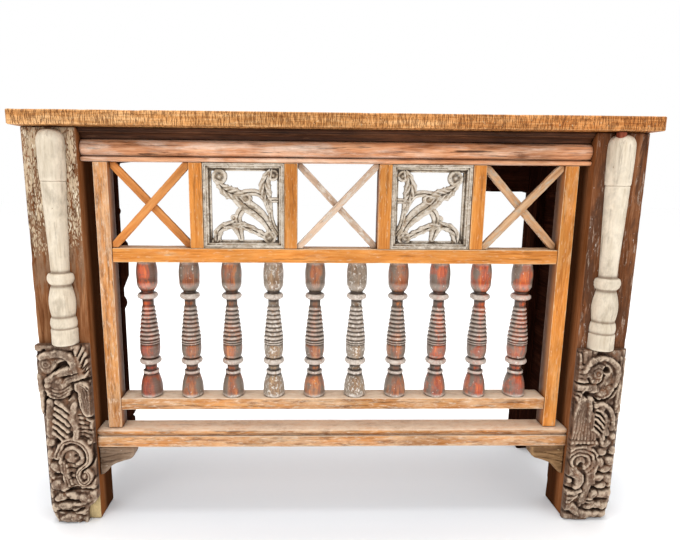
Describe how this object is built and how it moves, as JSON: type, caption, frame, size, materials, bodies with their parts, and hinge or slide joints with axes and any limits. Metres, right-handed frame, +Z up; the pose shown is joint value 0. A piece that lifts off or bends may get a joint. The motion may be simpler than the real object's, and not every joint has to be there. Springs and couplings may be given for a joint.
{
  "type": "console table",
  "caption": "Console table made of reclaimed timber, with a turned and pierced balustrade front between carved posts with half columns.",
  "frame": {"origin": "on the floor, under the middle of the top", "axes": "+X along the table to the right as seen from the front, +Y from the balustrade front to the back, +Z up"},
  "size_m": [1.334, 0.45, 0.92],
  "materials": {
    "top_wood": "waxed reclaimed wood, satin",
    "fixing_wood": "plain wood",
    "batten_wood": "plain wood, matt",
    "screw_steel": "zinc plated",
    "post_cream_paint": "worn cream paint over brown wood, matt",
    "post_dark_paint": "worn dark brown paint with pale flakes, matt",
    "rear_wood": "dark brown stain, matt",
    "carved_wood": "weathered grey-brown carved wood, matt",
    "column_paint": "worn off-white paint, matt",
    "peg_wood": "red-brown wood",
    "apron_wood": "waxed wood with pale paint traces",
    "cornice_wood": "dark brown wood",
    "rail_wood": "pale weathered wood, waxed",
    "orange_rail_wood": "orange-brown wood, waxed",
    "leaf_wood": "weathered grey-white carved wood",
    "slat_orange": "orange-brown wood, waxed",
    "slat_pale": "pale wood, waxed",
    "slat_tan": "pinkish tan wood, waxed",
    "bracket_brown": "brown wood with paint flakes",
    "bracket_ochre": "rough ochre wood",
    "baluster_red": "worn red paint over grey-brown wood",
    "baluster_wood": "grey-brown turned wood with red paint traces",
    "baluster_pale": "whitish worn paint over turned wood",
    "baluster_orange": "orange-red turned wood with pale paint traces"
  },
  "bodies": {
    "root": {"top_plank_front": "top_wood", "top_plank_middle": "top_wood", "top_plank_back": "top_wood", "top_splines": "fixing_wood", "top_battens": "batten_wood", "top_screws": "screw_steel", "top_dowels": "fixing_wood", "front_post_left": "post_cream_paint", "front_post_right": "post_dark_paint", "rear_post_left": "rear_wood", "rear_post_right": "rear_wood", "carved_block_left": "carved_wood", "carved_block_right": "carved_wood", "column_left": "column_paint", "column_right": "column_paint", "column_cap_left": "column_paint", "column_cap_right": "column_paint", "column_peg_right": "peg_wood", "rear_column_left": "rear_wood", "rear_corbel_right": "rear_wood", "apron_rail": "apron_wood", "apron_cornice": "cornice_wood", "rear_apron": "rear_wood", "side_rail_left": "rear_wood", "side_rail_right": "rear_wood", "side_board_left": "rear_wood", "side_board_right": "rear_wood", "bottom_rail": "rail_wood", "bracket_left": "bracket_brown", "bracket_right": "bracket_ochre", "joint_pegs": "fixing_wood", "stile_left": "rail_wood", "stile_right": "orange_rail_wood", "mid_rail": "orange_rail_wood", "lower_rail": "rail_wood", "muntin_1": "orange_rail_wood", "muntin_2": "orange_rail_wood", "muntin_3": "orange_rail_wood", "muntin_4": "orange_rail_wood", "leaf_panel_left": "leaf_wood", "leaf_panel_right": "leaf_wood", "slat_1_falling": "slat_orange", "slat_1_rising": "slat_orange", "slat_3_falling": "slat_pale", "slat_3_rising": "slat_pale", "slat_5_falling": "slat_tan", "slat_5_rising": "slat_tan", "baluster_01": "baluster_red", "baluster_02": "baluster_wood", "baluster_03": "baluster_wood", "baluster_04": "baluster_pale", "baluster_05": "baluster_wood", "baluster_06": "baluster_pale", "baluster_07": "baluster_wood", "baluster_08": "baluster_orange", "baluster_09": "baluster_orange", "baluster_10": "baluster_orange"}
  },
  "joints": []
}
